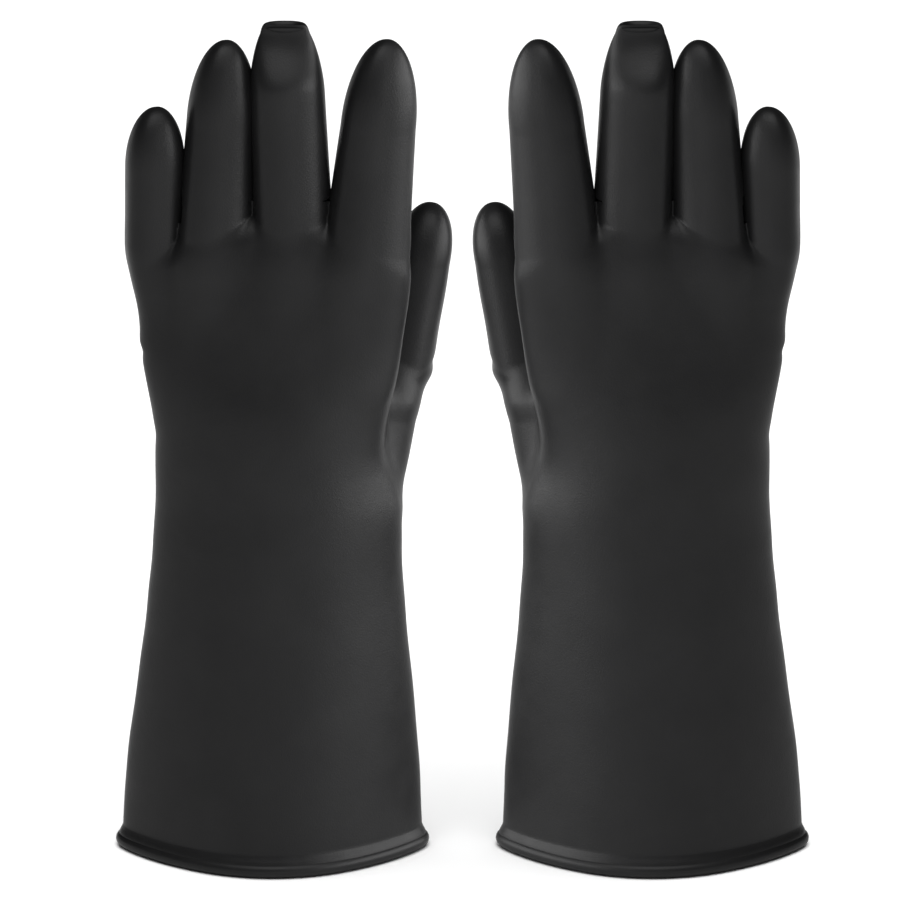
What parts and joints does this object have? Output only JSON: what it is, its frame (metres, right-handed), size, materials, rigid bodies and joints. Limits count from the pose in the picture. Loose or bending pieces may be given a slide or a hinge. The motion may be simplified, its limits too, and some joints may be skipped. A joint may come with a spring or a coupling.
{
  "type": "electrical insulating gloves",
  "caption": "Pair of long-cuffed, dip-moulded rubber gloves for live electrical work, with rolled bead cuffs, standing fingers up.",
  "frame": {"origin": "on the surface the gloves stand on, under the middle of the bounding box of the pair", "axes": "+Z from the cuffs to the fingertips, +Y from the backs of the hands to the palms, +X from the left glove to the right glove"},
  "size_m": [0.2808, 0.085, 0.3604],
  "materials": {
    "glove_rubber": "satin, dip-moulded natural rubber, faintly chalky",
    "bead_rubber": "satin, rolled edge of the same rubber"
  },
  "bodies": {
    "left_gauntlet": {"left_cuff_bead": "bead_rubber", "left_gauntlet_sleeve": "glove_rubber", "left_wrist_band": "glove_rubber"},
    "left_hand": {"left_hand_shell": "glove_rubber", "left_index_knuckle_band": "glove_rubber", "left_middle_knuckle_band": "glove_rubber", "left_ring_knuckle_band": "glove_rubber", "left_little_knuckle_band": "glove_rubber", "left_thumb_knuckle_band": "glove_rubber"},
    "left_index_base": {"left_index_base_stall": "glove_rubber", "left_index_joint_band": "glove_rubber"},
    "left_index_tip": {"left_index_tip_stall": "glove_rubber"},
    "left_middle_base": {"left_middle_base_stall": "glove_rubber", "left_middle_joint_band": "glove_rubber"},
    "left_middle_tip": {"left_middle_tip_stall": "glove_rubber"},
    "left_ring_base": {"left_ring_base_stall": "glove_rubber", "left_ring_joint_band": "glove_rubber"},
    "left_ring_tip": {"left_ring_tip_stall": "glove_rubber"},
    "left_little_base": {"left_little_base_stall": "glove_rubber", "left_little_joint_band": "glove_rubber"},
    "left_little_tip": {"left_little_tip_stall": "glove_rubber"},
    "left_thumb_base": {"left_thumb_base_stall": "glove_rubber", "left_thumb_joint_band": "glove_rubber"},
    "left_thumb_tip": {"left_thumb_tip_stall": "glove_rubber"},
    "right_gauntlet": {"right_cuff_bead": "bead_rubber", "right_gauntlet_sleeve": "glove_rubber", "right_wrist_band": "glove_rubber"},
    "right_hand": {"right_hand_shell": "glove_rubber", "right_index_knuckle_band": "glove_rubber", "right_middle_knuckle_band": "glove_rubber", "right_ring_knuckle_band": "glove_rubber", "right_little_knuckle_band": "glove_rubber", "right_thumb_knuckle_band": "glove_rubber"},
    "right_index_base": {"right_index_base_stall": "glove_rubber", "right_index_joint_band": "glove_rubber"},
    "right_index_tip": {"right_index_tip_stall": "glove_rubber"},
    "right_middle_base": {"right_middle_base_stall": "glove_rubber", "right_middle_joint_band": "glove_rubber"},
    "right_middle_tip": {"right_middle_tip_stall": "glove_rubber"},
    "right_ring_base": {"right_ring_base_stall": "glove_rubber", "right_ring_joint_band": "glove_rubber"},
    "right_ring_tip": {"right_ring_tip_stall": "glove_rubber"},
    "right_little_base": {"right_little_base_stall": "glove_rubber", "right_little_joint_band": "glove_rubber"},
    "right_little_tip": {"right_little_tip_stall": "glove_rubber"},
    "right_thumb_base": {"right_thumb_base_stall": "glove_rubber", "right_thumb_joint_band": "glove_rubber"},
    "right_thumb_tip": {"right_thumb_tip_stall": "glove_rubber"}
  },
  "joints": [
    {"name": "left_wrist", "type": "hinge", "parent": "left_gauntlet", "child": "left_hand", "pos_m": [-0.075, -0.0041, 0.155], "axis": [-1, 0, 0], "range_deg": [-30, 30], "stiffness_Nm_per_rad": 3, "deforming": ["left_wrist_band"]},
    {"name": "left_index_knuckle", "type": "hinge", "parent": "left_hand", "child": "left_index_base", "pos_m": [-0.03683, -0.00577, 0.287], "axis": [-0.9968, 0, 0.08], "range_deg": [0, 50], "stiffness_Nm_per_rad": 0.3, "deforming": ["left_index_knuckle_band"]},
    {"name": "left_index_joint", "type": "hinge", "parent": "left_index_base", "child": "left_index_tip", "pos_m": [-0.03435, -0.00399, 0.318], "axis": [-0.9968, 0, 0.08], "range_deg": [0, 60], "stiffness_Nm_per_rad": 0.25, "deforming": ["left_index_joint_band"]},
    {"name": "left_middle_knuckle", "type": "hinge", "parent": "left_hand", "child": "left_middle_base", "pos_m": [-0.06903, -0.00329, 0.2885], "axis": [-0.9992, 0, -0.0396], "range_deg": [0, 50], "stiffness_Nm_per_rad": 0.3, "deforming": ["left_middle_knuckle_band"]},
    {"name": "left_middle_joint", "type": "hinge", "parent": "left_middle_base", "child": "left_middle_tip", "pos_m": [-0.07039, -0.00142, 0.323], "axis": [-0.9992, 0, -0.0396], "range_deg": [0, 60], "stiffness_Nm_per_rad": 0.25, "deforming": ["left_middle_joint_band"]},
    {"name": "left_ring_knuckle", "type": "hinge", "parent": "left_hand", "child": "left_ring_base", "pos_m": [-0.09857, -0.0006, 0.288], "axis": [-0.9995, 0, 0.0313], "range_deg": [0, 50], "stiffness_Nm_per_rad": 0.3, "deforming": ["left_ring_knuckle_band"]},
    {"name": "left_ring_joint", "type": "hinge", "parent": "left_ring_base", "child": "left_ring_tip", "pos_m": [-0.09762, 0.00109, 0.3185], "axis": [-0.9995, 0, 0.0313], "range_deg": [0, 60], "stiffness_Nm_per_rad": 0.25, "deforming": ["left_ring_joint_band"]},
    {"name": "left_little_knuckle", "type": "hinge", "parent": "left_hand", "child": "left_little_base", "pos_m": [-0.12413, 0.00138, 0.277], "axis": [-0.9999, 0, -0.0151], "range_deg": [0, 50], "stiffness_Nm_per_rad": 0.3, "deforming": ["left_little_knuckle_band"]},
    {"name": "left_little_joint", "type": "hinge", "parent": "left_little_base", "child": "left_little_tip", "pos_m": [-0.12446, 0.00263, 0.299], "axis": [-0.9999, 0, -0.0151], "range_deg": [0, 60], "stiffness_Nm_per_rad": 0.25, "deforming": ["left_little_joint_band"]},
    {"name": "left_thumb_root", "type": "hinge", "parent": "left_hand", "child": "left_thumb_base", "pos_m": [-0.02382, 0.02663, 0.2125], "axis": [0, -0.9937, 0.1122], "range_deg": [0, 30], "stiffness_Nm_per_rad": 0.3, "deforming": ["left_thumb_knuckle_band"]},
    {"name": "left_thumb_joint", "type": "hinge", "parent": "left_thumb_base", "child": "left_thumb_tip", "pos_m": [-0.0203, 0.02929, 0.236], "axis": [0, -0.9937, 0.1122], "range_deg": [0, 40], "stiffness_Nm_per_rad": 0.25, "deforming": ["left_thumb_joint_band"]},
    {"name": "right_glove_apart", "type": "slide", "parent": "left_gauntlet", "child": "right_gauntlet", "axis": [1, 0, 0], "range_m": [0, 0.2]},
    {"name": "right_wrist", "type": "hinge", "parent": "right_gauntlet", "child": "right_hand", "pos_m": [0.075, -0.0041, 0.155], "axis": [-1, 0, 0], "range_deg": [-30, 30], "stiffness_Nm_per_rad": 3, "deforming": ["right_wrist_band"]},
    {"name": "right_index_knuckle", "type": "hinge", "parent": "right_hand", "child": "right_index_base", "pos_m": [0.03683, -0.00577, 0.287], "axis": [-0.9968, 0, -0.08], "range_deg": [0, 50], "stiffness_Nm_per_rad": 0.3, "deforming": ["right_index_knuckle_band"]},
    {"name": "right_index_joint", "type": "hinge", "parent": "right_index_base", "child": "right_index_tip", "pos_m": [0.03435, -0.00399, 0.318], "axis": [-0.9968, 0, -0.08], "range_deg": [0, 60], "stiffness_Nm_per_rad": 0.25, "deforming": ["right_index_joint_band"]},
    {"name": "right_middle_knuckle", "type": "hinge", "parent": "right_hand", "child": "right_middle_base", "pos_m": [0.06903, -0.00329, 0.2885], "axis": [-0.9992, 0, 0.0396], "range_deg": [0, 50], "stiffness_Nm_per_rad": 0.3, "deforming": ["right_middle_knuckle_band"]},
    {"name": "right_middle_joint", "type": "hinge", "parent": "right_middle_base", "child": "right_middle_tip", "pos_m": [0.07039, -0.00142, 0.323], "axis": [-0.9992, 0, 0.0396], "range_deg": [0, 60], "stiffness_Nm_per_rad": 0.25, "deforming": ["right_middle_joint_band"]},
    {"name": "right_ring_knuckle", "type": "hinge", "parent": "right_hand", "child": "right_ring_base", "pos_m": [0.09857, -0.0006, 0.288], "axis": [-0.9995, 0, -0.0313], "range_deg": [0, 50], "stiffness_Nm_per_rad": 0.3, "deforming": ["right_ring_knuckle_band"]},
    {"name": "right_ring_joint", "type": "hinge", "parent": "right_ring_base", "child": "right_ring_tip", "pos_m": [0.09762, 0.00109, 0.3185], "axis": [-0.9995, 0, -0.0313], "range_deg": [0, 60], "stiffness_Nm_per_rad": 0.25, "deforming": ["right_ring_joint_band"]},
    {"name": "right_little_knuckle", "type": "hinge", "parent": "right_hand", "child": "right_little_base", "pos_m": [0.12413, 0.00138, 0.277], "axis": [-0.9999, 0, 0.0151], "range_deg": [0, 50], "stiffness_Nm_per_rad": 0.3, "deforming": ["right_little_knuckle_band"]},
    {"name": "right_little_joint", "type": "hinge", "parent": "right_little_base", "child": "right_little_tip", "pos_m": [0.12446, 0.00263, 0.299], "axis": [-0.9999, 0, 0.0151], "range_deg": [0, 60], "stiffness_Nm_per_rad": 0.25, "deforming": ["right_little_joint_band"]},
    {"name": "right_thumb_root", "type": "hinge", "parent": "right_hand", "child": "right_thumb_base", "pos_m": [0.02382, 0.02663, 0.2125], "axis": [0, 0.9937, -0.1122], "range_deg": [0, 30], "stiffness_Nm_per_rad": 0.3, "deforming": ["right_thumb_knuckle_band"]},
    {"name": "right_thumb_joint", "type": "hinge", "parent": "right_thumb_base", "child": "right_thumb_tip", "pos_m": [0.0203, 0.02929, 0.236], "axis": [0, 0.9937, -0.1122], "range_deg": [0, 40], "stiffness_Nm_per_rad": 0.25, "deforming": ["right_thumb_joint_band"]}
  ]
}
